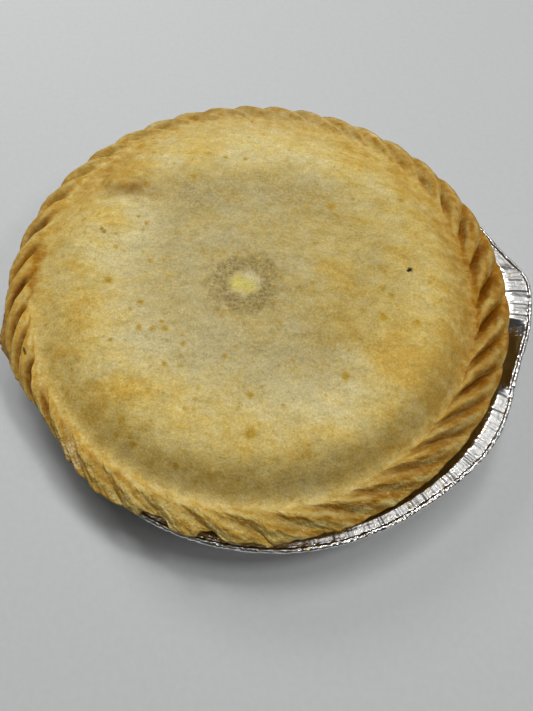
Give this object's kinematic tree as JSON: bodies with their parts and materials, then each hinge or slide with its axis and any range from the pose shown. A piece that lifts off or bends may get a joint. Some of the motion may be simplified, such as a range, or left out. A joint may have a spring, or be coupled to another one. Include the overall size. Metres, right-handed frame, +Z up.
{
  "type": "cheese and onion pie in foil dish",
  "caption": "Whole round cheese and onion pie with a pale domed lid and a browned rope-crimped rim, in the bent foil dish that it was baked in.",
  "frame": {"origin": "middle of the foil dish's flat underside, on the surface it stands on", "axes": "+Z up; +X to the right and +Y away from the viewer as pictured, so the dish's bent-out ear lies towards +X"},
  "size_m": [0.2396, 0.2302, 0.0499],
  "materials": {
    "crust": "baked shortcrust pastry, matte and finely grainy, pale straw in the middle and golden brown at the crimps",
    "foil": "thin bright pleated aluminium foil with a rolled edge, creased and smeared"
  },
  "bodies": {
    "root": {"pie": "crust", "foil_dish": "foil"}
  },
  "joints": []
}
